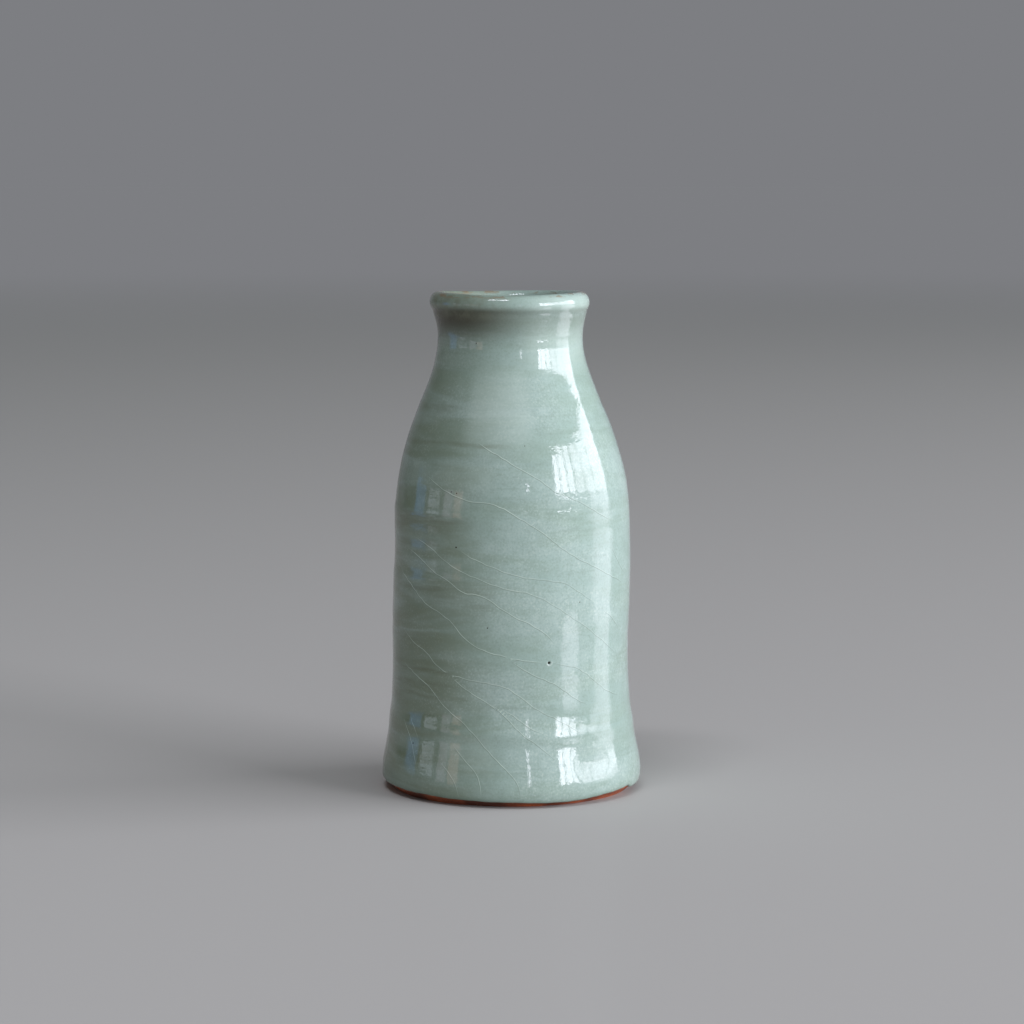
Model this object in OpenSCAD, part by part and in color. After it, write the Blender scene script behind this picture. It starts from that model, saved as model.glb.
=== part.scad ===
// Wheel-thrown sake bottle: a one-piece clay body with a glaze coat outside and a glaze coat inside.
// Frame: +Z up, origin at the centre of the foot, on the plane that the bottle stands on. Millimetres.
//
// The whole glazed surface is one meridian, SKIN, which runs from the glaze line above the foot,
// up the outside, over the lip, down the throat and to the middle of the inner floor. Each of its
// samples also holds its outward normal, so the clay under the glaze is the same line set back by
// the glaze's thickness, and the three nodes meet face to face.

/* [Overall] */
// Height from the resting plane to the crest of the lip
bottle_h = 130; // [125:1:150]
// Thickness of the fired glaze, outside and inside
glaze_t = 0.5; // [0.2:0.1:0.8]

/* [Foot] */
// Outer radius of the ring that the bottle stands on
foot_r = 31.2; // [30:0.1:32]
// Radial width of that ring
foot_ring_w = 5; // [3:0.5:8]
// Depth of the turned recess inside the ring
recess_d = 1.8; // [0.8:0.2:2.4]
// Height above the resting plane at which the glaze stops
glaze_line_z = 1.5; // [1:0.1:3]
// Largest radius, where the wall kicks out above the foot
flare_r = 34.1; // [33:0.1:36]
// Height of that largest radius
flare_z = 4.4; // [3.5:0.1:6]

/* [Body] */
// Outer radius of the straight body
body_r = 31.1; // [30:0.1:32]
// Outer radius where the shoulder begins
shoulder_r = 30.8; // [29:0.1:31]
// Height where the shoulder begins
shoulder_z = 72; // [68:1:78]
// Wall thickness of the body, glaze included
wall_t = 4.1; // [3.5:0.1:6]
// Height of the inner floor
floor_z = 6.2; // [5.5:0.1:9]

/* [Neck and lip] */
// Outer radius of the neck at its narrowest
neck_r = 18.95; // [18:0.1:21]
// Outer radius of the lip
lip_r = 20.8; // [20:0.1:23]
// Radius of the throat, the straight land that a stopper would fit
throat_r = 14.9; // [12:0.1:15.3]
// Length of the straight land
throat_len = 7; // [4:0.5:8]
// Depth below the crest at which the outer glaze, turned in over the lip, meets the inner glaze
glaze_lap_depth = 8.5; // [7:0.5:9]

/* [Quality] */
// Steps in each stretch of the meridian
steps = 9; // [5:1:14]

/* [Hidden] */
$fn = 180;
clay_colour = [0.62, 0.27, 0.14];
glaze_colour = [0.62, 0.70, 0.65];
liner_colour = [0.66, 0.72, 0.66];

// Heights that follow from the overall height: the neck, the lip and the throat hang from the crest.
kick_z = flare_z + 9.6;
waist_z = 38;
belly_z = 50;
incline_z = bottle_h - 32;
neck_z = bottle_h - 11.6;
roll_z = bottle_h - 5.5;
lip_z = bottle_h - 2.7;
throat_top_z = bottle_h - 10.5;
throat_low_z = throat_top_z - throat_len;
lap_z = bottle_h - glaze_lap_depth;

// Radii between the named ones
kick_r = body_r + (flare_r - body_r) * 0.52;
incline_r = neck_r + (shoulder_r - neck_r) * 0.52;
crest_r = lip_r - 2.2;
mouth_r = throat_r + 1.65;
inner_r = body_r - wall_t;
inner_incline_r = incline_r - wall_t * 0.9;
floor_fillet_w = 7;
floor_fillet_h = 7.5;
contact_drop_r = 0.25;
recess_dome = 0.4;

// A station is [height, radius, slope dr/dz]. These three walls are smooth through their stations.
OUTER_WALL = [
    [flare_z, flare_r, 0],
    [kick_z, kick_r, -0.17],
    [waist_z, body_r - 0.05, 0],
    [belly_z, body_r + 0.05, 0],
    [shoulder_z, shoulder_r, -0.02],
    [incline_z, incline_r, -0.40],
    [neck_z, neck_r, 0],
    [roll_z, neck_r + (lip_r - neck_r) * 0.62, 0.36],
    [lip_z, lip_r, 0],
];
MOUTH_WALL = [
    [lip_z, mouth_r, 0],
    [lap_z, throat_r + (mouth_r - throat_r) * 0.17, 0.24],
    [throat_top_z, throat_r, 0],
];
INNER_WALL = [
    [throat_low_z, throat_r, 0],
    [incline_z - 1.5, inner_incline_r, -0.40],
    [shoulder_z - 2, inner_r - 0.35, -0.02],
    [waist_z, inner_r, 0],
    [floor_z + floor_fillet_h, inner_r, 0],
];

// One sample of the meridian is [[r, z], [normal r, normal z]].
function cubic(a, b, t) =
    let (h = b[0] - a[0])
    (2 * t^3 - 3 * t^2 + 1) * a[1] + (t^3 - 2 * t^2 + t) * h * a[2]
    + (3 * t^2 - 2 * t^3) * b[1] + (t^3 - t^2) * h * b[2];

function cubic_slope(a, b, t) =
    let (h = b[0] - a[0])
    (6 * t^2 - 6 * t) * (a[1] - b[1]) / h + (3 * t^2 - 4 * t + 1) * a[2] + (3 * t^2 - 2 * t) * b[2];

// Samples between two stations, without the first. side is 1 on an outside wall and -1 on an inside one.
function stretch(a, b, side) = [
    for (i = [1:steps])
        let (t = i / steps, s = cubic_slope(a, b, t))
        [[cubic(a, b, t), a[0] + (b[0] - a[0]) * t], side * [1, -s] / norm([1, s])]
];

function wall(stations, side) = [
    for (k = [1:len(stations) - 1]) each stretch(stations[k - 1], stations[k], side)
];

// Samples along an ellipse's arc, without the first. side is 1 where the skin is convex there.
function arc(centre, radii, from, to, side) = [
    for (i = [1:steps])
        let (w = from + (to - from) * i / steps, n = [cos(w) / radii[0], sin(w) / radii[1]])
        [[centre[0] + radii[0] * cos(w), centre[1] + radii[1] * sin(w)], side * n / norm(n)]
];

// The rounded foot is a quarter ellipse from the resting plane to the flare, glazed above the glaze line.
foot_centre = [foot_r, flare_z];
foot_radii = [flare_r - foot_r, flare_z];
glaze_line_angle = -acos(sqrt(1 - pow((flare_z - glaze_line_z) / flare_z, 2)));
glaze_line_sample = arc(foot_centre, foot_radii, glaze_line_angle - 1, glaze_line_angle, 1)[steps - 1];

SKIN_OUT = concat(
    [glaze_line_sample],
    arc(foot_centre, foot_radii, glaze_line_angle, 0, 1),
    wall(OUTER_WALL, 1),
    arc([crest_r, lip_z], [lip_r - crest_r, bottle_h - lip_z], 0, 90, 1),
    arc([crest_r, lip_z], [crest_r - mouth_r, bottle_h - lip_z], 90, 180, 1),
    wall([MOUTH_WALL[0], MOUTH_WALL[1]], -1)
);
SKIN_IN = concat(
    [SKIN_OUT[len(SKIN_OUT) - 1]],
    wall([MOUTH_WALL[1], MOUTH_WALL[2]], -1),
    [[[throat_r, throat_low_z], [-1, 0]]],
    wall(INNER_WALL, -1),
    arc(
        [inner_r - floor_fillet_w, floor_z + floor_fillet_h],
        [floor_fillet_w, floor_fillet_h],
        0, -90, -1
    ),
    [[[0, floor_z], [0, 1]]]
);

function surface_of(skin) = [for (s = skin) s[0]];
function clay_under(skin) = [for (s = skin) s[0] - glaze_t * s[1]];
function backwards(list) = [for (i = [len(list) - 1:-1:0]) list[i]];

module coat(skin) {
    rotate_extrude()
        polygon(concat(surface_of(skin), backwards(clay_under(skin))));
}

module clay_body() {
    ring_r = foot_r - contact_drop_r;
    color(clay_colour)
        rotate_extrude()
            polygon(concat(
                [[0, recess_d + recess_dome], [ring_r - foot_ring_w - 1, recess_d], [ring_r - foot_ring_w, 0]],
                [[ring_r, 0], [ring_r + 0.9, 0.5]],
                clay_under(SKIN_OUT),
                clay_under(SKIN_IN)
            ));
}

module outer_glaze() {
    color(glaze_colour) coat(SKIN_OUT);
}

module inner_glaze() {
    color(liner_colour) coat(SKIN_IN);
}

clay_body();
outer_glaze();
inner_glaze();
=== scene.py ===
import math
from collections import defaultdict

import bmesh
import bpy
import numpy as np
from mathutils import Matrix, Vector, kdtree


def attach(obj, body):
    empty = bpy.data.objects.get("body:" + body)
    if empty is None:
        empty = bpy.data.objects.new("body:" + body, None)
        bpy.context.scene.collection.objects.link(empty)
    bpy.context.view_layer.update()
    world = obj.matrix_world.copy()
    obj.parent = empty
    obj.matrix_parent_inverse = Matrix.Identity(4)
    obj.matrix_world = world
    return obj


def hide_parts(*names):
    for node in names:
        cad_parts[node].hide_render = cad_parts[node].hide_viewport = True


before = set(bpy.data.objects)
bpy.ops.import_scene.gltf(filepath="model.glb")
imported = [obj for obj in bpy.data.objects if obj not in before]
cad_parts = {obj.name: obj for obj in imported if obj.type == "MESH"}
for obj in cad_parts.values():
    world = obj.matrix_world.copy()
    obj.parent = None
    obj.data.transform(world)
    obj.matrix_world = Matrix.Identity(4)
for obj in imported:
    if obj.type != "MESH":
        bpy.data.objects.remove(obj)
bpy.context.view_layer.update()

# The looks of a wheel-thrown celadon sake bottle: a clay body, a glaze coat outside and one inside.
# The bottle's sizes are in millimetres, turned to metres by MM. The stage, lights and camera are in
# metres. Angle 0 on the bottle faces the camera, at -Y, and grows to the camera's right, to +X.
MM = 0.001
TAU = 2 * math.pi

# ------------------------------------------------------------------ sizes of the visual meshes
COLUMNS = 288            # corners round the outer coat and the clay
LINER_COLUMNS = 216      # corners round the liner
SPLINE_STEP = 0.05       # mm between the points that a smooth outline is kept as
BODY_STEP = 0.55         # mm between rings of the outer skin
LIP_STEP = 0.28          # mm between rings where the skin turns over the lip
INNER_STEP = 0.9         # mm between rings of the inner skin
GLAZE_T = 0.5            # mm, thickness of both coats
EMBED = 0.08             # mm that a coat's underside is set into the clay, to keep the two apart
BODY_RADIUS = 31         # mm, to turn angles into lengths round the body
NECK_Z = 100             # mm, a height inside the neck, above the shoulder

rng = np.random.default_rng(7)


# ------------------------------------------------------------------ the CAD outlines
def seam_links(node):
    """The node's section at azimuth 0 as (r, z) corners in millimetres, each with its neighbours."""
    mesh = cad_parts[node].data
    tol = 1e-6
    spot = {}
    for v in mesh.vertices:
        if abs(v.co.y) < tol and v.co.x > -tol:
            spot[v.index] = (round(v.co.x / MM, 3), round(v.co.z / MM, 3))
    links = defaultdict(set)
    for edge in mesh.edges:
        a, b = (spot.get(i) for i in edge.vertices)
        if a and b and a != b:
            links[a].add(b)
            links[b].add(a)
    return links


def trace(links, start, second, end=None):
    """The corners from start through second, on to end or to where the outline stops."""
    path = [start, second]
    while path[-1] != end:
        onward = [c for c in links[path[-1]] if c != path[-2]]
        if not onward or onward[0] == start:
            break
        path.append(onward[0])
    return path


def outer_corners():
    """The outer coat's skin, from the glaze line over the lip to the lap in the throat."""
    links = seam_links("outer_glaze")
    foot = min(links, key=lambda c: c[1])
    lap = min(links, key=lambda c: c[0])
    return trace(links, foot, max(links[foot], key=lambda c: c[0]), lap)


def inner_corners():
    """The inner coat's skin, from the narrowest corner of the throat to the middle of the floor."""
    links = seam_links("inner_glaze")
    throat = min((c for c in links if c[1] > NECK_Z), key=lambda c: c[0])
    path = trace(links, throat, min(links[throat], key=lambda c: c[0]))
    floor_z = path[-1][1]
    rest = np.linspace(path[-1][0], 0, 12)[1:]
    return path + [(r, floor_z) for r in rest]


class Line:
    """A smooth meridian through corners, read by its length s in millimetres from the first of them."""

    def __init__(self, corners):
        p = np.array(corners, float)
        knots = np.concatenate([[0], np.cumsum(np.hypot(*np.diff(p, axis=0).T))])
        fine = np.arange(0, knots[-1], SPLINE_STEP)
        q = np.stack([self.natural(knots, p[:, k], fine) for k in (0, 1)], axis=1)
        self.s = np.concatenate([[0], np.cumsum(np.hypot(*np.diff(q, axis=0).T))])
        self.q = q
        d = np.gradient(q, self.s, axis=0)
        self.t = d / np.hypot(*d.T)[:, None]
        self.length = self.s[-1]

    @staticmethod
    def natural(x, y, at):
        """The natural cubic spline through (x, y), at the given places."""
        n, h = len(x), np.diff(x)
        m = np.eye(n)
        rhs = np.zeros(n)
        for i in range(1, n - 1):
            m[i, i - 1:i + 2] = h[i - 1], 2 * (h[i - 1] + h[i]), h[i]
            rhs[i] = 6 * ((y[i + 1] - y[i]) / h[i] - (y[i] - y[i - 1]) / h[i - 1])
        c = np.linalg.solve(m, rhs)
        i = np.clip(np.searchsorted(x, at, side="right") - 1, 0, n - 2)
        u, w, g = at - x[i], x[i + 1] - at, h[i]
        return (
            (c[i] * w**3 + c[i + 1] * u**3) / (6 * g)
            + (y[i] / g - c[i] * g / 6) * w
            + (y[i + 1] / g - c[i + 1] * g / 6) * u
        )

    def at(self, s, k):
        """Coordinate k (0 is r, 1 is z) at length s, carried on straight past both ends."""
        s = np.asarray(s, float)
        inside = np.interp(s, self.s, self.q[:, k])
        before = np.minimum(s, 0) * self.t[0, k]
        after = np.maximum(s - self.length, 0) * self.t[-1, k]
        return inside + before + after

    def normal(self, s):
        """The outward normal (r, z) at length s."""
        tr, tz = (np.interp(s, self.s, self.t[:, k]) for k in (0, 1))
        size = np.hypot(tr, tz)
        return tz / size, -tr / size

    def s_at_z(self, z):
        """The first length at which the line reaches height z."""
        return self.s[np.argmax(self.q[:, 1] >= z)]


OUT = Line(outer_corners())
IN = Line(inner_corners())
CREST_Z = OUT.q[:, 1].max()


# ------------------------------------------------------------------ how the clay was thrown
def bump(x, centre, width):
    """1 at the centre, falling off smoothly on both sides over about the width."""
    return np.exp(-(((x - centre) / width) ** 2))


def rise(x, low, high):
    """0 below low, 1 above high, smooth between."""
    t = np.clip((x - low) / (high - low), 0, 1)
    return t * t * (3 - 2 * t)


def make_waves(count, turns, pitch):
    """Random waves over the surface: whole turns round it, and the given range of pitches in mm."""
    kinds = []
    for _ in range(count):
        turn, climb = int(rng.integers(0, turns + 1)), TAU / rng.uniform(*pitch)
        kinds.append((turn, climb, rng.uniform(0, TAU), rng.choice((-1, 1))))
    return kinds


def waves(kinds, a, z):
    """The sum of the waves at (a, z), from about -1 to 1."""
    total = sum(np.sin(n * a * side + k * z + phase) for n, k, phase, side in kinds)
    return total / math.sqrt(len(kinds))


BROAD = make_waves(9, 3, (38, 90))
MIDDLE = make_waves(12, 5, (11, 26))
FINE = make_waves(14, 3, (3.6, 8))
THROAT = make_waves(8, 3, (4, 9))


def thrower_marks(a, z):
    """What the hands left at some places only, in mm: ridges at the left, flats and a groove in front."""
    left, front = 0.5 - 0.5 * np.sin(a), bump(a, 0.25, 0.6)
    foot_ring = (0.15 + 0.15 * front) * bump(z + 0.5 * np.sin(a), 18.6 - 0.6 * front, 1.9 + 0.4 * front)
    foot_ring = foot_ring - 0.06 * bump(z, 23.2, 2.2)
    shoulder_ridge = 0.16 * left * bump(z, 73.6, 2.0)
    step = -0.16 * left * rise(z, 56.5, 60) * (1 - rise(z, 62, 70))
    high_shoulder = -0.5 * front * (rise(z, 46, 70) - rise(z, 72.5, 84))
    low_neck = 0.5 * front * (rise(z, 110, 119) - rise(z, 121, 126))
    low_flare = 0.3 * front * (1 - rise(z, 3.6, 8.6)) + 0.16 * front * (1 - rise(z, 13.6, 16.8))
    groove = -0.40 * rise(a, 0.47, 0.62) * (1 - rise(a, 0.72, 0.95))
    groove = groove * rise(z, 5, 10.2) * (1 - rise(z, 10.2, 14.8))
    lip_line = 0.06 * bump(z, 127.2, 1.3) - 0.15 * bump(z, 125.1, 0.9)
    return foot_ring + shoulder_ridge + step + high_shoulder + low_neck + low_flare + groove + lip_line


def outer_relief(a, z):
    """How far the outside stands proud of its mean outline, in mm: swells, finger rings and marks."""
    calm = rise(z, 1.5, 9) * (1 - 0.75 * rise(z, CREST_Z - 9, CREST_Z - 4))
    swell = 0.10 * waves(BROAD, a, z) + 0.035 * waves(MIDDLE, a, z)
    rings = 0.014 * waves(FINE, a, z)
    return calm * (swell + rings) + thrower_marks(a, z)


def inner_relief(a, z):
    """The inside's finger rings, which climb in one spiral, in mm towards the axis."""
    deep = rise(z, 8, 16) * (1 - rise(z, 92, 104))
    spiral = 0.28 * np.sin(TAU * z / 7.5 - a) + 0.10 * np.sin(TAU * z / 3.1 - a + 1)
    return deep * spiral + 0.05 * waves(THROAT, a, z)


# The axis leans and wanders a little with height: (height, offset to the camera's right), in mm.
LEAN = ((0, 0.1), (40, -0.1), (62, 0.25), (84, 0.28), (100, 0.05), (120, -0.22), (130, -0.45))


def bend(a, r, z):
    """Puts a point of the round bottle, given in mm, where the thrown one has it, in metres."""
    oval = 1 + 0.0022 * np.cos(2 * (a - 0.7)) * rise(z, 4, 30)
    up = rise(z, CREST_Z - 14, CREST_Z)
    saddle = -0.24 * np.cos(2 * (a - 0.12)) - 0.05 * np.cos(3 * a + 0.8) - 0.03 * np.cos(5 * a)
    lean_x = np.interp(z, *zip(*LEAN))
    r = r * oval
    z = z + up * saddle
    return np.stack([r * np.sin(a) + lean_x, -r * np.cos(a), z], axis=-1) * MM


def skin(line, relief, a, s, depth=0.0):
    """Points under a skin line by depth (mm), at angles a and lengths s."""
    nr, nz = line.normal(s)
    r, z = line.at(s, 0), line.at(s, 1)
    off = relief(a, z) - depth
    fade = np.clip(r / 3, 0, 1)
    return bend(a, r + nr * off * fade, z + nz * off)


# ------------------------------------------------------------------ meshes
def angles(count):
    """Angles round the bottle, from the back through the camera's left."""
    return np.arange(count) * TAU / count - math.pi


def lathe(name, rings, poles=(None, None), closed=False):
    """A mesh from rings, each (columns, 3). Poles end it on the axis, and closed joins last to first."""
    rows, cols = len(rings), len(rings[0])
    verts = np.concatenate(rings).tolist()
    ring_pairs = [(i, (i + 1) % rows) for i in range(rows if closed else rows - 1)]
    faces = [
        (p * cols + j, p * cols + (j + 1) % cols, q * cols + (j + 1) % cols, q * cols + j)
        for p, q in ring_pairs
        for j in range(cols)
    ]
    for pole, ring, flip in ((poles[0], 0, True), (poles[1], rows - 1, False)):
        if pole is None:
            continue
        hub = len(verts)
        verts.append(list(pole))
        for j in range(cols):
            edge = (ring * cols + j, ring * cols + (j + 1) % cols)
            faces.append((edge[1], edge[0], hub) if flip else (*edge, hub))
    mesh = bpy.data.meshes.new(name)
    mesh.from_pydata(verts, [], faces)
    mesh.shade_smooth()
    mesh.validate()
    obj = bpy.data.objects.new(name, mesh)
    bpy.context.scene.collection.objects.link(obj)
    return obj


def paint(obj, name, values):
    """Stores one number per vertex for the materials."""
    layer = obj.data.attributes.new(name, "FLOAT", "POINT")
    layer.data.foreach_set("value", np.asarray(values, np.float32))


# How far the foot's glaze edge sits above the CAD's glaze line, in mm, by angle in degrees.
GLAZE_EDGE = (
    (-180, 0.1), (-130, 0.5), (-90, 0.8), (-60, 0.6), (-30, 0.35), (0, 0.05), (14, -0.1), (26, -0.35),
    (36, -0.1), (48, 0.35), (58, 0.75), (64, 0.9), (68, -0.15), (90, -0.3), (120, 0.2), (150, -0.1),
    (180, 0.1),
)


def glaze_line_shift(a):
    """The foot's glaze edge, wiped by hand: its height over the CAD's glaze line, in mm."""
    wiped = np.interp(np.degrees(a), *zip(*GLAZE_EDGE))
    ragged = 0.05 * np.sin(9 * a + 2.0) + 0.05 * np.sin(17 * a + 1.1) + 0.03 * np.sin(41 * a)
    return wiped + ragged


def nose(length, thickness, count):
    """A coat's rounded edge: lengths from its tip and the coat's thickness there."""
    w = np.linspace(0, math.pi / 2, count)
    return length * (1 - np.cos(w)), thickness * np.sin(w)


FOOT_NOSE = 0.8          # mm over which the foot's glaze edge rounds off
LAP_NOSE = 1.3           # mm over which the lap in the throat rounds off
LAP_PROUD = 0.18         # mm that the outer coat stands proud of its outline at the lap
UNDER_RINGS = 36         # rings of the outer coat's underside
LINER_START = -1.6       # mm, the liner's first ring, above its outline's first corner
LINER_UNDER_RINGS = 60   # rings of the liner's underside
FOOT_RINGS = 70, 12, 10, 6       # rings of the clay's dish, recess wall, foot ring and rounded edge
JOIN_RINGS = 9           # rings from the foot's edge to the outer coat
OUTER_CLAY_RINGS = 110   # rings of the clay under the outer coat
INNER_CLAY_RINGS = 90    # rings of the clay under the liner
NUB = 0.22               # mm that the centre of the underside stands down from the dish


def outer_rows():
    """The outer coat's rings: how far along the skin and how deep under it each lies, in mm."""
    foot_s, foot_t = nose(FOOT_NOSE, GLAZE_T, 9)
    lap_s, lap_t = nose(LAP_NOSE, GLAZE_T, 8)
    lip_from = OUT.s_at_z(CREST_Z - 8)
    body = np.arange(FOOT_NOSE, lip_from, BODY_STEP)[1:]
    lip = np.arange(lip_from, OUT.length - LAP_NOSE, LIP_STEP)
    s = np.concatenate([foot_s, body, lip, OUT.length - lap_s[::-1]])
    depth = np.concatenate([GLAZE_T - foot_t, 0 * body, 0 * lip, GLAZE_T - lap_t[::-1]])
    return s, depth


def edge_lengths(a, s):
    """The lengths s at angle a, shifted near the foot to follow the ragged glaze edge."""
    return s + glaze_line_shift(a) * (1 - rise(s, 0.5, 8))


def build_outer_glaze():
    """The outside's glaze as a closed shell, from the foot's edge over the lip to the lap."""
    a = angles(COLUMNS)
    s_rows, depths = outer_rows()
    rings = []
    for s, depth in zip(s_rows, depths):
        roll = 0.10 * bump(s, 1.1, 0.7)
        proud = LAP_PROUD * rise(s, OUT.length - 5, OUT.length - 2)
        rings.append(skin(OUT, outer_relief, a, edge_lengths(a, s), depth - roll - proud))
    for s in np.linspace(OUT.length - 0.4, 0.3, UNDER_RINGS):
        rings.append(skin(OUT, outer_relief, a, edge_lengths(a, s), GLAZE_T + EMBED))
    obj = lathe("celadon_coat", rings, closed=True)
    paint(obj, "edge_mm", np.repeat(np.concatenate([s_rows, np.zeros(UNDER_RINGS)]), COLUMNS))
    return obj


def build_liner():
    """The inside's glaze as a closed shell, from just below the outer coat's end down over the floor.

    Its faces point into the shell, and a hairline of clay stays bare between the two coats.
    """
    a = angles(LINER_COLUMNS)
    body = np.arange(LINER_START, IN.length - 0.6, INNER_STEP)
    rings = []
    for s in body:
        dip = 0.3 * (1 - rise(s, LINER_START, -0.2))
        rings.append(skin(IN, inner_relief, a, s, dip))
    top_pole = skin(IN, inner_relief, np.zeros(1), IN.length)[0]
    top_pole[:2] = rings[-1].mean(axis=0)[:2]
    under = []
    for s in np.linspace(LINER_START, IN.length - 0.8, LINER_UNDER_RINGS):
        under.append(skin(IN, inner_relief, a, s, GLAZE_T + EMBED))
    low_pole = top_pole - [0, 0, (GLAZE_T + EMBED) * MM]
    return lathe("liner_coat", rings[::-1] + under, poles=(top_pole, low_pole))


def clay_corners():
    """The clay's outline below the glaze line: (r, z) from the axis out to the edge of the foot, in mm."""
    links = seam_links("clay_body")
    axis = min((c for c in links if c[0] < 0.01), key=lambda c: c[1])
    flat = sorted(c[0] for c in links if c[1] < 0.001)
    recess = max((c for c in links if c[1] < 3 and c[0] < flat[0]), key=lambda c: c[0])
    return axis, recess, flat[0], flat[-1]


def foot_profile():
    """Rings of the bare underside and the foot's edge, from near the axis to the glaze line."""
    (_, dome_z), (recess_r, recess_z), ring_in, ring_out = clay_corners()
    in_dish, in_wall, in_ring, in_edge = FOOT_RINGS
    r = np.linspace(0.5, recess_r - 0.6, in_dish)
    dish = [(x, dome_z + (recess_z - dome_z) * (x / recess_r) ** 2) for x in r]
    wall_r = np.linspace(recess_r - 0.6, ring_in + 0.5, in_wall)
    wall = list(zip(wall_r, recess_z * (1 - rise(np.linspace(0, 1, in_wall), 0, 1))))
    ring = [(x, 0.0) for x in np.linspace(ring_in + 0.9, ring_out - 0.5, in_ring)]
    turn = np.linspace(0, math.pi / 2.6, in_edge)[1:]
    edge = [(ring_out - 0.5 + 0.5 * math.sin(t), 0.5 * (1 - math.cos(t))) for t in turn]
    return dish, wall, ring + edge


def turning(a, r, z):
    """The marks of the trimming tool on the underside, in mm upwards: a shallow spiral and a centre nub."""
    spiral = 0.07 * np.sin(TAU * r / 1.9 - a) + 0.03 * np.sin(TAU * r / 0.83 - a)
    inside = 1 - rise(r, 23.5, 25.5)
    chatter = 0.012 * np.sin(46 * a + 9 * np.sin(r / 4)) * rise(r, 8, 14)
    nub = -NUB * bump(r, 0, 1.6)
    return inside * (spiral + chatter) + nub


def build_clay():
    """The fired clay as one closed solid: underside, foot's edge, and the wall under both coats."""
    a = angles(COLUMNS)
    dish, wall, ring = foot_profile()
    rings = [bend(a, r + 0 * a, z + turning(a, r, z)) for r, z in dish + wall]
    rings += [bend(a, r + 0.04 * np.sin(7 * a) + 0 * a, z + 0 * a) for r, z in ring]
    last_r, last_z = ring[-1]
    start_r, start_z = (OUT.at(0.3, k) for k in (0, 1))
    nr, nz = OUT.normal(0.3)
    join_r, join_z = start_r - nr * GLAZE_T, start_z - nz * GLAZE_T
    for t in np.linspace(0, 1, JOIN_RINGS)[1:-1]:
        grain = 0.02 * np.sin(31 * a + 5 * t) + 0.015 * np.sin(53 * a + 2)
        r, z = last_r + (join_r - last_r) * t, last_z + (join_z - last_z) * t
        rings.append(bend(a, r + grain, z + 0 * a))
    for s in np.linspace(0.3, OUT.length, OUTER_CLAY_RINGS):
        rings.append(skin(OUT, outer_relief, a, s, GLAZE_T))
    for s in np.linspace(0.4, IN.length - 0.8, INNER_CLAY_RINGS):
        rings.append(skin(IN, inner_relief, a, s, GLAZE_T))
    dome_z = clay_corners()[0][1]
    low = np.array([LEAN[0][1] * MM, 0, (dome_z - NUB) * MM])
    high = rings[-1].mean(axis=0)
    return lathe("thrown_clay", rings, poles=(low, high))


# ------------------------------------------------------------------ pinholes and iron specks
# Each is (angle in degrees, height, radius, depth in radii): pinholes are deep, specks lie in the surface.
SPOTS = (
    (18.3, 36.9, 0.55, 0.75), (112, 58, 0.4, 0.6), (-148, 88, 0.45, 0.6), (171, 27, 0.5, 0.7),
    (-96, 12, 0.35, 0.6), (-27.5, 66.2, 0.38, 0), (-31, 80.2, 0.30, 0), (-28, 79.9, 0.30, 0),
    (-11, 46, 0.30, 0), (34, 52, 0.28, 0), (-51, 14.6, 0.34, 0), (-27, 117.5, 0.26, 0),
    (7, 92, 0.22, 0), (88, 71, 0.3, 0), (129, 34, 0.36, 0), (155, 63, 0.28, 0),
    (-171, 50, 0.33, 0), (-129, 29, 0.3, 0), (-112, 76, 0.26, 0), (-84, 41, 0.3, 0),
)


def corners_near(bm, spots, reach):
    """For each spot, the outside's corners within reach radii of it."""
    bm.normal_update()
    bm.verts.index_update()
    bm.verts.ensure_lookup_table()
    tree = kdtree.KDTree(len(bm.verts))
    for v in bm.verts:
        tree.insert(v.co, v.index)
    tree.balance()
    for centre, normal, radius, _ in spots:
        found = (bm.verts[i] for _, i, _ in tree.find_range(centre, reach * radius))
        yield [v for v in found if v.normal.dot(normal) > 0]


def add_spots(obj):
    """Refines the outer coat round each spot, sinks the pinholes, marks them all for the material and
    paints a glint on each pinhole's lower rim.
    """
    bm = bmesh.new()
    bm.from_mesh(obj.data)
    spots = []
    for degrees, z, radius, depth in SPOTS:
        a = np.array([math.radians(degrees)])
        s = OUT.s_at_z(z)
        centre = Vector(skin(OUT, outer_relief, a, s)[0])
        nr, nz = OUT.normal(s)
        normal = Vector((nr * math.sin(a[0]), -nr * math.cos(a[0]), nz))
        spots.append((centre, normal, radius * MM, depth))
    for reach in (3.2, 2.4):
        edges = set()
        for near in corners_near(bm, spots, reach):
            inside = set(near)
            edges.update(e for v in near for e in v.link_edges if e.other_vert(v) in inside)
        bmesh.ops.subdivide_edges(bm, edges=list(edges), cuts=1, use_grid_fill=True)
    pit, rim_glint = {}, {}
    for (centre, normal, radius, depth), near in zip(spots, corners_near(bm, spots, 3.5)):
        for v in near:
            d = (v.co - centre).length / radius
            raised = math.exp(-(((d - 1.15) / 0.35) ** 2))
            drop = -math.exp(-((d / 0.62) ** 4)) + 0.13 * raised
            v.co += normal * (drop * radius * depth)
            pit[v.index] = max(0.0, 1 - d)
            # a painted glint on the lower side of each pinhole's raised rim
            below = 0.5 + 0.5 * (centre.z - v.co.z) / max((v.co - centre).length, 1e-6)
            rim_glint[v.index] = below * raised if depth else 0.0
    bm.to_mesh(obj.data)
    bm.free()
    obj.data.shade_smooth()
    for name, marks in (("pit", pit), ("pit_rim_glint", rim_glint)):
        values = np.zeros(len(obj.data.vertices), np.float32)
        values[list(marks)] = list(marks.values())
        paint(obj, name, values)


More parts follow.
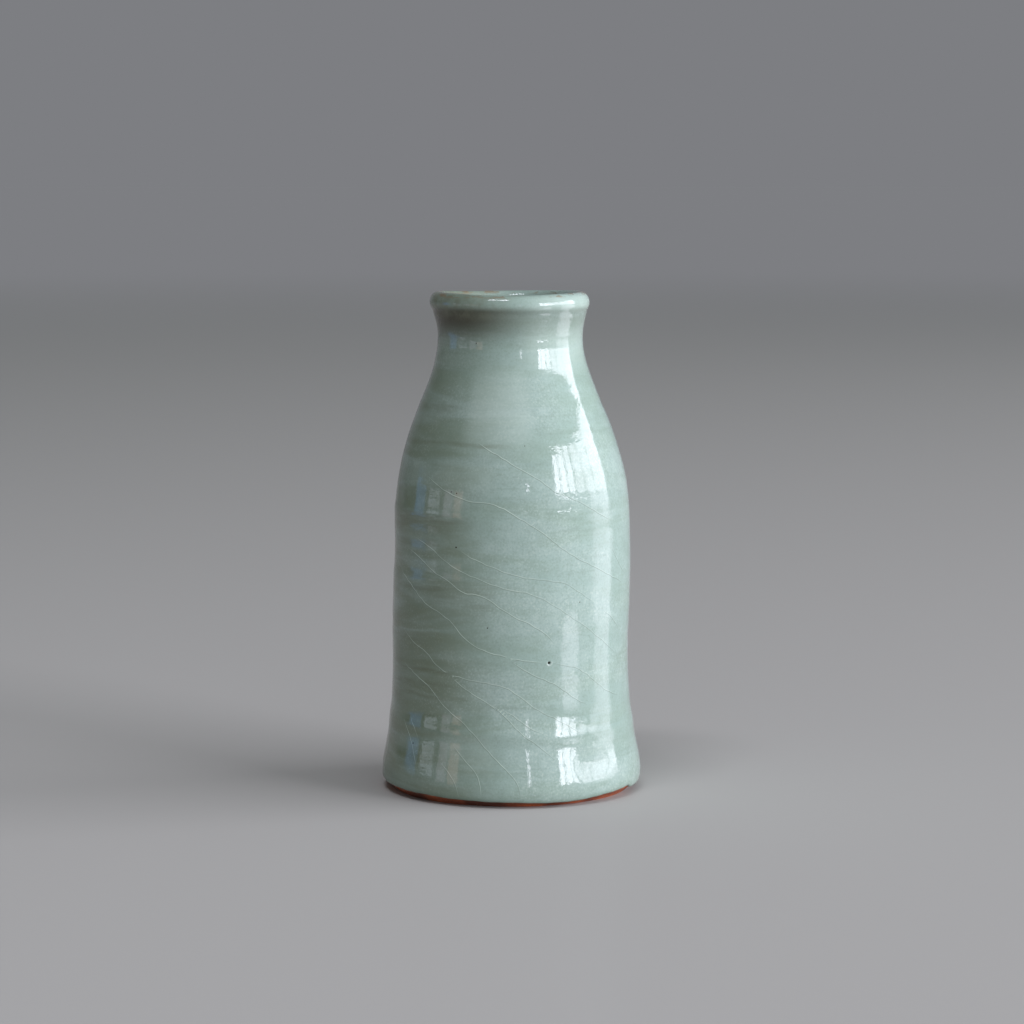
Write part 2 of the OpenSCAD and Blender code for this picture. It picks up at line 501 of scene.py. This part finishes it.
# ------------------------------------------------------------------ the crackle
# The cracks in front, each by corners of (angle in degrees, height in mm) from its upper left end.
CRACKS = (
    ((-20, 93), (-5, 89), (5, 86), (15, 83), (20, 81), (33, 78), (44, 75), (58, 72)),
    ((-48, 84), (-33, 80), (-19, 78), (-7, 77), (3, 74), (10, 72), (25, 66), (46, 60), (68, 55)),
    ((-27, 66), (-21, 64), (-12, 62), (-2, 60), (17, 58), (26, 57), (33, 55), (44, 51)),
    ((-55, 68), (-44, 66), (-35, 63), (-24, 60), (-14, 58), (-2, 56), (7, 55), (25, 50), (42, 44),
     (62, 37)),
    ((-61, 65), (-48, 62), (-38, 59), (-30, 57), (-24, 55), (-14, 54), (-5, 51), (5, 48), (12, 46),
     (23, 41)),
    ((-69, 59), (-55, 55), (-44, 51), (-32, 48), (-24, 44), (-16, 41), (-5, 39), (3, 38), (18, 37)),
    ((18, 37), (33, 35), (42, 32), (50, 29), (66, 26)),
    ((-1, 38), (7, 35), (22, 31), (30, 28), (40, 25)),
    ((-64, 44), (-51, 40), (-43, 38), (-39, 36), (-32, 34), (-14, 32), (-4, 31), (3, 29), (10, 26),
     (23, 22), (37, 17)),
    ((-31, 34), (-27, 32), (-12, 27), (-4, 24), (3, 20), (12, 16), (22, 11)),
    ((-6, 26), (5, 22), (10, 20), (18, 18)),
    ((-64, 35), (-51, 32), (-41, 29), (-35, 26), (-22, 21), (-11, 15), (-4, 11), (3, 6), (4, 2)),
    ((-29, 17), (-21, 12), (-17, 10), (-14, 7), (-13, 2)),
    ((-35, 12), (-31, 10), (-25, 6), (-23, 2)),
    ((-62, 21), (-54, 16), (-46, 8)),
    ((-57, 22), (-52, 19), (-47, 15)),
    ((47, 50), (56, 47), (66, 43)),
    ((55, 66), (64, 60), (72, 57)),
)
BACK_CRACKS = 64         # cracks tried over the part of the bottle that turns away
START_GAP = 2.8          # mm that a back crack's upper end keeps from the others
END_GAP = 1.3            # mm from another crack at which a back crack stops
LAST_ANGLE = math.radians(285)   # where the back cracks give way to the front ones
CRACK_TOP = 95           # mm, above which the glaze didn't crack
CRACK_STEP = 0.25        # mm between points along a crack
OWN_GAP = 0.7            # mm by which a crack must be nearer than the next one to show in full


def unsteady(count):
    """Small uneven kinks along a crack, in mm."""
    knots = np.arange(0, count + 12, 6)
    return 0.16 * np.interp(np.arange(count), knots, rng.uniform(-1, 1, len(knots)))


def front_cracks():
    """The front cracks as arrays of angle and height, rounded through their corners."""
    for corners in CRACKS:
        a, z = np.array(corners, float).T
        a = np.radians(a)
        along = np.concatenate([[0], np.cumsum(np.hypot(np.diff(a) * BODY_RADIUS, np.diff(z)))])
        at = np.arange(0, along[-1], CRACK_STEP)
        yield Line.natural(along, a, at), Line.natural(along, z, at) + unsteady(len(at))


def gap_to(others, a, z):
    """How far (a, z) is from the nearest point of the other cracks, in mm round the body."""
    round_it = (others[0] - a + math.pi) % TAU - math.pi
    return np.hypot(round_it * BODY_RADIUS, others[1] - z).min()


def back_cracks(others):
    """Cracks like the front ones over the rest of the bottle: down to the right, steeper near the foot."""
    others = np.concatenate(others, axis=1)
    for i in range(BACK_CRACKS):
        a = math.radians(rng.uniform(72, 275))
        z = 12 + (CRACK_TOP - 12) * (i + rng.uniform(0.2, 0.8)) / BACK_CRACKS
        lean = rng.uniform(-6, 8)
        sway, pitch, phase = rng.uniform(4, 11), rng.uniform(18, 34), rng.uniform(0, TAU)
        length = rng.uniform(16, 62)
        if gap_to(others, a, z) < START_GAP:
            continue
        path = []
        for along in np.arange(0, length, CRACK_STEP):
            steep = 27 + 36 * float(1 - rise(z, 6, 34)) + lean
            steep += sway * math.sin(TAU * along / pitch + phase)
            a += math.cos(math.radians(steep)) * CRACK_STEP / BODY_RADIUS
            z -= math.sin(math.radians(steep)) * CRACK_STEP
            if z < 2 or a > LAST_ANGLE or gap_to(others, a, z) < END_GAP:
                break
            path.append((a, z))
        if len(path) > 20:
            a_path, z_path = np.array(path).T
            others = np.concatenate([others, [a_path, z_path]], axis=1)
            yield a_path, z_path + unsteady(len(path))


def paint_cracks(obj):
    """Marks each vertex with its side of the nearest crack and its distance, in mm, and its strength."""
    climb = OUT.q[:, 1].argmax()
    front = list(front_cracks())
    spots, across, strength, owner = [], [], [], []
    for a, z in [*front, *back_cracks([np.array(c) for c in front])]:
        s = np.interp(z, OUT.q[:climb, 1], OUT.s[:climb])
        p = skin(OUT, outer_relief, a, s)
        nr, nz = OUT.normal(s)
        normal = np.stack([nr * np.sin(a), -nr * np.cos(a), nz], axis=1)
        ends = np.minimum(np.arange(len(a)), np.arange(len(a))[::-1]) * CRACK_STEP
        spots.append(p)
        across.append(np.cross(normal, np.gradient(p, axis=0)))
        strength.append(rng.uniform(0.7, 1.0) * rise(ends, 0, 5))
        owner.append(np.full(len(a), len(owner)))
    spots, across, strength, owner = (np.concatenate(x) for x in (spots, across, strength, owner))
    across /= np.linalg.norm(across, axis=1)[:, None]
    tree = kdtree.KDTree(len(spots))
    for i, p in enumerate(spots):
        tree.insert(p, i)
    tree.balance()
    found = [tree.find(v.co) for v in obj.data.vertices]
    nearest = np.array([f[1] for f in found])
    near = np.array([f[2] for f in found]) / MM
    for i in np.flatnonzero(near < 1.0):
        around = tree.find_n(obj.data.vertices[i].co, 32)
        rival = [f[2] for f in around if owner[f[1]] != owner[nearest[i]]]
        if rival:
            near[i] += 2 * max(0.0, OWN_GAP - (rival[0] / MM - near[i]))
    off = np.array([v.co for v in obj.data.vertices]) - spots[nearest]
    paint(obj, "crack_side", np.clip((off * across[nearest]).sum(axis=1) / MM, -2, 2))
    paint(obj, "crack_near", np.clip(near, 0, 2))
    paint(obj, "crack", strength[nearest])


# ------------------------------------------------------------------ shader helpers
class Shader:
    """A material and short ways to add nodes to it. Inputs are numbers, tuples or other nodes' sockets."""

    def __init__(self, name):
        self.material = bpy.data.materials.new(name)
        self.material.use_nodes = True
        self.tree = self.material.node_tree
        self.tree.nodes.clear()
        self.out = self.tree.nodes.new("ShaderNodeOutputMaterial")

    def node(self, kind, inputs=(), **settings):
        n = self.tree.nodes.new("ShaderNode" + kind)
        for key, value in settings.items():
            setattr(n, key, value)
        for key, value in dict(inputs).items():
            if isinstance(value, bpy.types.NodeSocket):
                self.tree.links.new(value, n.inputs[key])
            else:
                n.inputs[key].default_value = value
        return n

    def math(self, operation, a, b=0.0, c=0.0):
        return self.node("Math", {0: a, 1: b, 2: c}, operation=operation).outputs[0]

    def add(self, a, b):
        return self.math("ADD", a, b)

    def mul(self, a, b):
        return self.math("MULTIPLY", a, b)

    def step(self, value, low, high, to_low=0.0, to_high=1.0):
        """value from low to high, smoothly, to the range to_low to to_high."""
        inputs = {"Value": value, "From Min": low, "From Max": high, "To Min": to_low, "To Max": to_high}
        return self.node("MapRange", inputs, interpolation_type="SMOOTHSTEP").outputs[0]

    def mix(self, fac, a, b):
        """The colour a, turned to b as fac goes from 0 to 1."""
        n = self.node("Mix", {0: fac}, data_type="RGBA")
        for key, value in ((6, a), (7, b)):
            if isinstance(value, bpy.types.NodeSocket):
                self.tree.links.new(value, n.inputs[key])
            else:
                n.inputs[key].default_value = (*value, 1)
        return n.outputs[2]

    def noise(self, vector, scale, detail=2.0, roughness=0.5, distortion=0.0):
        """Noise from 0 to 1, with scale in features per unit of vector."""
        inputs = {"Vector": vector, "Scale": scale, "Detail": detail}
        inputs.update({"Roughness": roughness, "Distortion": distortion})
        return self.node("TexNoise", inputs).outputs["Fac"]

    def scaled(self, vector, x, y, z):
        return self.node("VectorMath", {0: vector, 1: (x, y, z)}, operation="MULTIPLY").outputs[0]

    def attribute(self, name):
        return self.node("Attribute", attribute_name=name).outputs["Fac"]

    def finish(self, inputs):
        shader = self.node("BsdfPrincipled", inputs)
        self.tree.links.new(shader.outputs[0], self.out.inputs[0])
        return self.material


def millimetres(sh):
    """The object's own coordinates in millimetres, and the three of them apart."""
    coords = sh.node("TexCoord").outputs["Object"]
    mm = sh.scaled(coords, 1 / MM, 1 / MM, 1 / MM)
    return mm, *list(sh.node("SeparateXYZ", {0: mm}).outputs)


def bumped(sh, height, size):
    """The surface's normal over a height from 0 to 1 that stands for size metres."""
    return sh.node("Bump", {"Strength": 1.0, "Distance": size, "Height": height}).outputs[0]


def crack_lines(sh, mm, x):
    """A pale line on each crack, partly a painted glint that fades towards the right with the light, and a
    dark one just below it as a painted shadow.
    """
    side, near, strength = sh.attribute("crack_side"), sh.attribute("crack_near"), sh.attribute("crack")
    strength = sh.mul(strength, sh.step(near, 0.6, 0.9, 1, 0))
    uneven = sh.step(sh.noise(mm, 1 / 4.0, 2.0), 0.35, 0.65, 0.55, 1.0)
    # the pale line is partly a painted glint, the dark line below it a painted shadow
    pale = sh.step(sh.math("ABSOLUTE", sh.add(side, -0.05)), 0.03, 0.14, 1, 0)
    dark = sh.step(sh.math("ABSOLUTE", sh.add(side, 0.13)), 0.04, 0.15, 1, 0)
    # painted light: the glint fades towards the right
    lit = sh.step(x, -3, 15, 1, 0.35)
    return sh.mul(sh.mul(sh.mul(pale, strength), lit), uneven), sh.mul(dark, strength)


# ------------------------------------------------------------------ materials
CELADON = (0.294, 0.390, 0.341)
CELADON_DEEP = (0.195, 0.262, 0.205)
CELADON_GREEN = (0.265, 0.352, 0.285)
CELADON_OLIVE_SHADE = (0.150, 0.176, 0.106)
CELADON_MILK = (0.345, 0.440, 0.396)
CELADON_BROWN_SHADE = (0.140, 0.155, 0.100)
CELADON_PALE_AND_SHEEN = (0.440, 0.530, 0.466)
UNDER_LIP_PAINTED_SHADE = (0.048, 0.040, 0.022)
LIP_OLIVE_SHADE = (0.165, 0.18, 0.125)
LIP_RUST = (0.22, 0.155, 0.09)
CRACK_PALE_GLINT = (0.56, 0.67, 0.57)
CRACK_SHADOW = (0.12, 0.155, 0.125)
PIT_RIM_GLINT = (0.70, 0.77, 0.70)
PIT_DARK = (0.03, 0.025, 0.018)
CLAY_BROWN = (0.13, 0.034, 0.017)
CLAY_ORANGE = (0.52, 0.125, 0.042)
CLAY_DUST = (0.10, 0.035, 0.018)
CLAY_GROG = (0.62, 0.40, 0.24)

# Soft marks that run level round part of the bottle: (height and half width in mm, from and to angle in
# degrees, strength).
# The brown ones lie where the glaze is thin, apart from the band at 72 mm on the left, which is painted
# shade where the shoulder turns down. The first three pale ones are painted sheen on the shoulder, neck and
# lip; the others are paler where the glaze is thick.
WASH_AND_SHADE_MARKS = (
    # the band at 72 mm, on the left, is painted shade where the shoulder turns down
    (92.2, 0.7, -80, 5, 0.35), (53.0, 5, -45, -5, 0.25), (72.0, 3.6, -95, -15, 0.45),
    (66.5, 1.2, -80, -30, 0.35), (55.0, 1.0, -75, -30, 0.4), (42.5, 1.6, -90, -40, 0.3),
    (33.8, 0.7, -72, -26, 0.45), (30.2, 1.0, -85, -20, 0.3), (27.4, 0.6, -70, -10, 0.25),
    (101.0, 1.5, -85, -30, 0.25), (80.0, 1.4, 100, 190, 0.3), (47.0, 2.2, 130, 230, 0.3),
    (22.0, 1.0, 90, 160, 0.35),
)
# the first three are painted sheen where light from above falls on the shoulder, neck and lip
PALE_AND_SHEEN_MARKS = (
    (101.0, 11, -32, 16, 0.42), (116.5, 7, 0, 95, 0.4), (127.5, 2.5, 2, 115, 0.45),
    (84.0, 4, -45, -5, 0.2), (13.5, 6, -35, -5, 0.2), (58.0, 10, 120, 200, 0.5), (90.0, 8, 190, 250, 0.4),
)


def soft_marks(sh, mm, angle, z, colour, marks, tint, streaky):
    """Mixes the tint into the colour on each mark, with the wheel's streaks in it."""
    wander = sh.mul(sh.add(sh.noise(mm, 1 / 16, 2.0), -0.5), 3.0)
    broken = sh.step(sh.noise(sh.scaled(mm, 1 / 9, 1 / 9, 1 / 1.2), 1.0, 3.0), 0.36, 0.60, 1 - streaky, 1)
    for height, half, start, end, strength in marks:
        middle, reach = math.radians((start + end) / 2), math.radians(end - start) / 2
        off = sh.math("WRAP", sh.add(angle, -middle), math.pi, -math.pi)
        round_it = sh.step(sh.math("ABSOLUTE", off), reach * 0.55, reach, strength, 0)
        above = sh.math("ABSOLUTE", sh.add(sh.add(z, wander), -height))
        level = sh.step(above, half * 0.2, half * 1.3, 1, 0)
        colour = sh.mix(sh.mul(sh.mul(round_it, level), broken), colour, tint)
    return colour


def glaze_ground(sh, mm, x, z):
    """The celadon's colour: clouds, drawn-out streaks and fine grain, with painted shade that darkens the
    left side to olive and paler milky clouds on the lit right side.
    """
    clouds = sh.noise(sh.scaled(mm, 1 / 24, 1 / 24, 1 / 15), 1.0, 3.0, 0.55)
    bands = sh.noise(sh.scaled(mm, 1 / 34, 1 / 34, 1 / 6), 1.0, 4.0, 0.6, 0.6)
    streaks = sh.noise(sh.scaled(mm, 1 / 22, 1 / 22, 1 / 2.0), 1.0, 4.0, 0.6, 0.3)
    where = sh.step(sh.noise(mm, 1 / 18, 2.0), 0.42, 0.62)
    grain = sh.noise(mm, 1 / 0.55, 2.0, 0.6)
    mottle = sh.noise(mm, 1 / 2.6, 3.0, 0.6)

    colour = sh.mix(sh.step(clouds, 0.36, 0.66), CELADON, CELADON_MILK)
    drift = sh.mul(sh.add(sh.noise(mm, 1 / 20, 2.0), -0.5), 14)
    # painted shade: the left side, away from the light, turns darker and olive, a little less on the
    # shoulder
    shade = sh.mul(sh.step(sh.add(x, drift), -24, 2, 1, 0), sh.step(z, 70, 84, 1, 0.75))
    colour = sh.mix(sh.step(bands, 0.40, 0.68, 0, 0.6), colour, CELADON_GREEN)
    colour = sh.mix(sh.mul(shade, sh.step(bands, 0.30, 0.66, 0.36, 0.80)), colour, CELADON_OLIVE_SHADE)
    colour = sh.mix(sh.mul(where, sh.step(streaks, 0.46, 0.72, 0, 0.34)), colour, CELADON_DEEP)
    colour = sh.mix(sh.step(mottle, 0.36, 0.62, 0.14, 0), colour, CELADON_DEEP)
    # partly painted light: the milky clouds and pale grain show mostly on the lit right side
    milky_lit_side = sh.mul(sh.step(clouds, 0.40, 0.62), sh.step(x, -20, 9, 0.3, 1))
    colour = sh.mix(sh.mul(milky_lit_side, sh.step(mottle, 0.46, 0.68, 0, 0.15)), colour, CELADON_PALE_AND_SHEEN)
    pale_grain = sh.mul(sh.add(milky_lit_side, 0.3), sh.step(grain, 0.52, 0.70, 0.0, 0.38))
    colour = sh.mix(pale_grain, colour, CELADON_PALE_AND_SHEEN)
    return sh.mix(sh.step(grain, 0.32, 0.48, 0.26, 0.0), colour, CELADON_DEEP), mottle


def lip_colours(sh, mm, x, z, colour, mottle):
    """Painted shade under the lip and olive mottles over it that are partly painted shade, both stronger at
    the left, away from the light, and rust worn along the crest.
    """
    left = sh.step(x, -22, 14, 1, 0)
    # painted shade under the lip's roll, strongest at the left; it reaches into the throat as well
    painted_lip_shade = sh.mul(sh.step(z, 115.5, 124.0), sh.step(z, 125.4, 127.2, 1, 0))
    painted_lip_shade = sh.mul(painted_lip_shade, sh.step(left, 0, 1, 0.34, 0.97))
    colour = sh.mix(painted_lip_shade, colour, UNDER_LIP_PAINTED_SHADE)
    # partly painted shade: olive mottles on the lip, strongest at the left, away from the light
    on_lip_olive_shade = sh.mul(sh.step(z, 122, 126), sh.step(mottle, 0.40, 0.62, 0.45, 0.95))
    colour = sh.mix(sh.mul(on_lip_olive_shade, sh.step(left, 0, 1, 0.0, 0.75)), colour, LIP_OLIVE_SHADE)
    crest = sh.step(z, CREST_Z - 1.3, CREST_Z - 0.5)
    worn = sh.step(sh.noise(sh.scaled(mm, 1 / 5, 1 / 5, 1 / 1.2), 1.0, 3.0, 0.6), 0.50, 0.60)
    return sh.mix(sh.mul(sh.mul(crest, worn), 0.7), colour, LIP_RUST)


def celadon_material():
    """Glossy grey-green glaze with its marks, painted shade and sheen, crackle, lip, thin foot edge,
    pinholes and specks.
    """
    sh = Shader("celadon_glaze")
    mm, x, y, z = millimetres(sh)
    angle = sh.math("ARCTAN2", x, sh.mul(y, -1))
    pale, dark = crack_lines(sh, mm, x)

    colour, mottle = glaze_ground(sh, mm, x, z)
    # painted sheen on the shoulder, neck and lip, and pale patches
    colour = soft_marks(sh, mm, angle, z, colour, PALE_AND_SHEEN_MARKS, CELADON_PALE_AND_SHEEN, 0.25)
    # brown bands of thin glaze, one of them painted shade under the shoulder's turn
    colour = soft_marks(sh, mm, angle, z, colour, WASH_AND_SHADE_MARKS, CELADON_BROWN_SHADE, 0.7)
    # painted shadow beside each crack
    colour = sh.mix(sh.mul(dark, 0.5), colour, CRACK_SHADOW)
    # each crack's pale line, partly a painted glint
    colour = sh.mix(sh.mul(pale, 0.9), colour, CRACK_PALE_GLINT)
    colour = lip_colours(sh, mm, x, z, colour, mottle)
    colour = sh.mix(sh.step(sh.attribute("edge_mm"), 0.2, 2.5, 0.35, 0), colour, CELADON_DEEP)
    # painted glint on each pinhole's lower rim
    colour = sh.mix(sh.mul(sh.attribute("pit_rim_glint"), 0.4), colour, PIT_RIM_GLINT)
    colour = sh.mix(sh.step(sh.attribute("pit"), 0.25, 0.55), colour, PIT_DARK)

    fine_peel = sh.mul(sh.noise(sh.scaled(mm, 1, 1, 1.6), 1 / 0.8, 1.0), 1.25)
    peel = sh.add(fine_peel, sh.mul(sh.noise(mm, 1 / 4.5, 1.0), 2.2))
    return sh.finish({
        "Base Color": colour,
        "Roughness": sh.step(sh.noise(mm, 1 / 7, 2.0), 0.3, 0.8, 0.035, 0.08),
        "Normal": bumped(sh, sh.add(peel, sh.mul(dark, -0.3)), 0.014 * MM),
        "IOR": 1.45,
    })


def liner_material():
    """The inside's glaze: the same celadon, paler, with throwing streaks and a pool on the floor."""
    sh = Shader("liner_glaze")
    mm, _, _, z = millimetres(sh)
    clouds = sh.noise(mm, 1 / 15, 3.0)
    streaks = sh.noise(sh.scaled(mm, 1 / 25, 1 / 25, 1 / 1.8), 1.0, 4.0, 0.6)
    colour = sh.mix(clouds, CELADON, CELADON_MILK)
    colour = sh.mix(sh.step(streaks, 0.5, 0.75, 0, 0.5), colour, CELADON_DEEP)
    colour = sh.mix(sh.step(z, 5, 12, 0.6, 0), colour, CELADON_DEEP)
    return sh.finish({
        "Base Color": colour,
        "Roughness": sh.step(clouds, 0.3, 0.7, 0.08, 0.14),
        "Normal": bumped(sh, sh.noise(mm, 1 / 2.5, 2.0), 0.02 * MM),
        "IOR": 1.52,
    })


def clay_material():
    """Bare stoneware: patches of orange and brown, with grog, dust and pores."""
    sh = Shader("bare_clay")
    mm = millimetres(sh)[0]
    flash = sh.noise(mm, 1 / 14, 3.0)
    colour = sh.mix(sh.step(flash, 0.38, 0.62), CLAY_BROWN, CLAY_ORANGE)
    grog = sh.node("TexVoronoi", {"Vector": mm, "Scale": 1 / 1.1})
    lot = sh.node("SeparateColor", {0: grog.outputs["Color"]}).outputs[1]
    fleck = sh.mul(sh.step(grog.outputs["Distance"], 0.10, 0.26, 1, 0), sh.math("GREATER_THAN", lot, 0.62))
    colour = sh.mix(sh.mul(fleck, 0.6), colour, CLAY_GROG)
    dust = sh.noise(mm, 1 / 0.35, 3.0, 0.7)
    return sh.finish({
        "Base Color": sh.mix(sh.step(dust, 0.35, 0.75, 0, 0.5), colour, CLAY_DUST),
        "Roughness": sh.step(dust, 0.2, 0.8, 0.62, 0.85),
        "Normal": bumped(sh, sh.add(sh.mul(dust, 0.8), sh.mul(fleck, 0.5)), 0.06 * MM),
    })


# ------------------------------------------------------------------ stage, lights and camera
FLOOR = (0.46, 0.445, 0.42)
WORLD_BACK = (0.205, 0.209, 0.223)      # the plain grey behind the bottle
WORLD_ROOM = (0.046, 0.042, 0.032)      # the dim room elsewhere
WORLD_BRIGHT = (0.60, 0.66, 0.72)       # where the daylight comes in, in front on the right
FLOOR_RADIUS = 120                      # m, far enough that the edge is the horizon
FADE_FROM, FADE_TO = 1.6, 5.0           # m from the bottle, where the floor turns into the grey
FADE_GLOW = 0.947                       # the grey's share that the floor's own sheen doesn't add


def floor_material():
    """A pale matt floor that fades into the grey behind it, far from the bottle."""
    sh = Shader("floor")
    coords = sh.node("TexCoord").outputs["Object"]
    away = sh.node("VectorMath", {0: coords}, operation="LENGTH").outputs["Value"]
    fade = sh.step(away, FADE_FROM, FADE_TO)
    return sh.finish({
        "Base Color": sh.mix(fade, FLOOR, (0, 0, 0)),
        "Emission Color": (*WORLD_BACK, 1),
        "Emission Strength": sh.mul(fade, FADE_GLOW),
        "Roughness": 0.8,
        "Specular IOR Level": 0.1,
        "Coat Weight": 0.04,
        "Coat Roughness": 0.16,
    })


def build_floor():
    """The pale floor as a disc round the bottle."""
    bm = bmesh.new()
    bmesh.ops.create_circle(bm, cap_ends=True, segments=96, radius=FLOOR_RADIUS)
    mesh = bpy.data.meshes.new("floor")
    bm.to_mesh(mesh)
    bm.free()
    floor = bpy.data.objects.new("floor", mesh)
    bpy.context.scene.collection.objects.link(floor)
    mesh.materials.append(floor_material())


def area_light(name, centre, aim, width, height, radiance, colour):
    """A rectangular soft light that shines from centre to aim, hidden from the camera."""
    data = bpy.data.lights.new(name, "AREA")
    data.shape = "RECTANGLE"
    data.size, data.size_y = width, height
    data.energy = radiance * math.pi * width * height
    data.color = colour
    light = bpy.data.objects.new(name, data)
    light.location = centre
    light.rotation_euler = (Vector(aim) - Vector(centre)).to_track_quat("-Z", "Y").to_euler()
    light.visible_camera = False
    bpy.context.scene.collection.objects.link(light)
    return light


# Soft panels stand upright in an arc round the bottle: the panes of a tall window and the sky through
# it, a door under it, a slit, and faint coloured things at the far left. Each is (name, from and to
# azimuth in degrees from the camera's side to its right, bottom, top, distance, radiance, colour).
DAYLIGHT = (1.0, 1.0, 1.11)
PANELS = (
    ("window_a", 43.8, 48.7, 0.198, 1.46, 3.0, 14, DAYLIGHT),
    ("window_b", 49.8, 57.2, 0.198, 1.50, 3.0, 13, DAYLIGHT),
    ("window_c", 58.2, 65.4, 0.210, 1.52, 3.0, 11, DAYLIGHT),
    ("window_d", 66.9, 77.0, 0.230, 0.90, 3.0, 7.0, DAYLIGHT),
    ("window_e", 77.9, 90.0, 0.230, 0.90, 3.0, 7.0, DAYLIGHT),
    ("window_f", 90.8, 108.0, 0.230, 0.90, 3.0, 7.0, DAYLIGHT),
    ("sky_d", 66.9, 77.0, 0.90, 1.48, 3.0, 8.5, DAYLIGHT),
    ("sky_e", 77.9, 90.0, 0.90, 1.50, 3.0, 8.5, DAYLIGHT),
    ("sky_f", 90.8, 108.0, 0.90, 1.52, 3.0, 8.5, DAYLIGHT),
    ("door_a", 81.5, 92.0, 0.005, 0.225, 3.0, 3.2, DAYLIGHT),
    ("door_b", 93.2, 108.0, 0.005, 0.225, 3.0, 3.8, DAYLIGHT),
    ("slit", 14.0, 16.0, 0.30, 0.60, 2.5, 10, DAYLIGHT),
    ("far_blue", -110.0, -95.0, 0.01, 0.34, 2.4, 0.8, (0.14, 0.48, 1.15)),
    ("far_white", -90.0, -75.0, 0.12, 0.30, 2.4, 1.5, (0.9, 1.0, 1.15)),
    ("far_grey", -70.0, -60.0, 0.03, 0.40, 2.4, 1.0, (1.1, 1.0, 1.2)),
    ("far_warm", -58.0, -49.0, 0.03, 0.40, 2.4, 1.15, (1.35, 0.88, 0.72)),
)
# Dim cards lie face up on the floor and show only in the glaze, as a shiny table would show the
# panels: (name, from and to azimuth, near and far distance, radiance, colour).
CARDS = (
    ("card_door_a", 83.0, 107.0, 0.70, 1.60, 3.0, DAYLIGHT),
    ("card_door_b", 83.0, 107.0, 0.42, 0.70, 3.2, DAYLIGHT),
    ("card_door_c", 84.0, 106.0, 0.28, 0.42, 2.9, DAYLIGHT),
    ("card_door_d", 85.0, 105.0, 0.20, 0.28, 2.3, DAYLIGHT),
    ("card_blue", -110.0, -95.0, 0.80, 2.30, 0.7, (0.14, 0.48, 1.15)),
    ("card_white", -88.0, -77.0, 0.90, 1.60, 1.0, (0.9, 1.0, 1.15)),
    ("card_window", 49.0, 63.5, 0.20, 0.40, 3.7, DAYLIGHT),
)
# A small light overhead, by azimuth, distance and height, aimed at the lip.
TOP_AT, TOP_AIM = (-24.0, 0.55, 1.15), (0, 0, 0.13)
TOP_SIZE, TOP_RADIANCE = (0.40, 0.14), 18.0


def bearing(azimuth):
    """The level unit vector towards an azimuth in degrees."""
    a = math.radians(azimuth)
    return Vector((math.sin(a), -math.cos(a), 0))


def build_lights():
    """The upright panels, the cards on the floor and the light overhead."""
    for name, start, end, low, high, distance, radiance, colour in PANELS:
        out = bearing((start + end) / 2)
        centre = out * distance + Vector((0, 0, (low + high) / 2))
        width = 2 * distance * math.tan(math.radians(end - start) / 2)
        area_light(name, centre, centre - out, width, high - low, radiance, colour)
    for name, start, end, near, far, radiance, colour in CARDS:
        out = bearing((start + end) / 2)
        centre = out * (near + far) / 2 + Vector((0, 0, 0.001))
        width = (near + far) * math.tan(math.radians(end - start) / 2)
        card = area_light(name, centre, centre + Vector((0, 0, 1)), width, far - near, radiance, colour)
        card.rotation_euler = (math.pi, 0, math.pi + math.atan2(-out.x, out.y))
    azimuth, distance, height = TOP_AT
    top = bearing(azimuth) * distance + Vector((0, 0, height))
    area_light("top", top, TOP_AIM, *TOP_SIZE, TOP_RADIANCE, DAYLIGHT)


def build_world():
    """A dim room with plain grey behind the bottle, brighter towards the daylight."""
    world = bpy.data.worlds.new("studio")
    world.use_nodes = True
    tree = world.node_tree
    direction = tree.nodes.new("ShaderNodeTexCoord").outputs["Generated"]

    def lobe(towards, low, high):
        """From 0 to 1 as the cosine of the angle to the given direction goes from low to high."""
        dot = tree.nodes.new("ShaderNodeVectorMath")
        dot.operation = "DOT_PRODUCT"
        dot.inputs[1].default_value = towards
        tree.links.new(direction, dot.inputs[0])
        shape = tree.nodes.new("ShaderNodeMapRange")
        shape.interpolation_type = "SMOOTHSTEP"
        shape.inputs["From Min"].default_value = low
        shape.inputs["From Max"].default_value = high
        tree.links.new(dot.outputs["Value"], shape.inputs["Value"])
        return shape.outputs[0]

    def mix(fac, a, b):
        node = tree.nodes.new("ShaderNodeMix")
        node.data_type = "RGBA"
        tree.links.new(fac, node.inputs[0])
        for socket, value in ((node.inputs[6], a), (node.inputs[7], b)):
            if isinstance(value, tuple):
                socket.default_value = (*value, 1)
            else:
                tree.links.new(value, socket)
        return node.outputs[2]

    colour = mix(lobe((0, 1, 0), 0.6, 0.95), WORLD_ROOM, WORLD_BACK)
    colour = mix(lobe(Vector((0.58, -0.58, 0.57)), 0.0, 1.0), colour, WORLD_BRIGHT)
    tree.links.new(colour, tree.nodes["Background"].inputs["Color"])
    bpy.context.scene.world = world


CAMERA_AT = (0.00027, -0.815, 0.1584)
CAMERA_DOWN = 6.024                      # degrees that the camera looks down
CAMERA_LENS, CAMERA_SENSOR = 109.8, 36   # mm


def build_camera():
    """The camera straight in front, a little above the lip and looking down."""
    data = bpy.data.cameras.new("camera")
    data.lens, data.sensor_width = CAMERA_LENS, CAMERA_SENSOR
    camera = bpy.data.objects.new("camera", data)
    camera.location = CAMERA_AT
    camera.rotation_euler = (math.radians(90 - CAMERA_DOWN), 0, 0)
    bpy.context.scene.collection.objects.link(camera)
    bpy.context.scene.camera = camera


# ------------------------------------------------------------------ putting it together
def place(obj, material, node):
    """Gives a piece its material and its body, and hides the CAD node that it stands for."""
    obj.data.materials.append(material)
    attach(obj, "root")
    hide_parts(node)


coat = build_outer_glaze()
add_spots(coat)
paint_cracks(coat)
place(coat, celadon_material(), "outer_glaze")
place(build_liner(), liner_material(), "inner_glaze")
place(build_clay(), clay_material(), "clay_body")

build_floor()
build_lights()
build_world()
build_camera()
bpy.context.scene.view_settings.view_transform = "Standard"
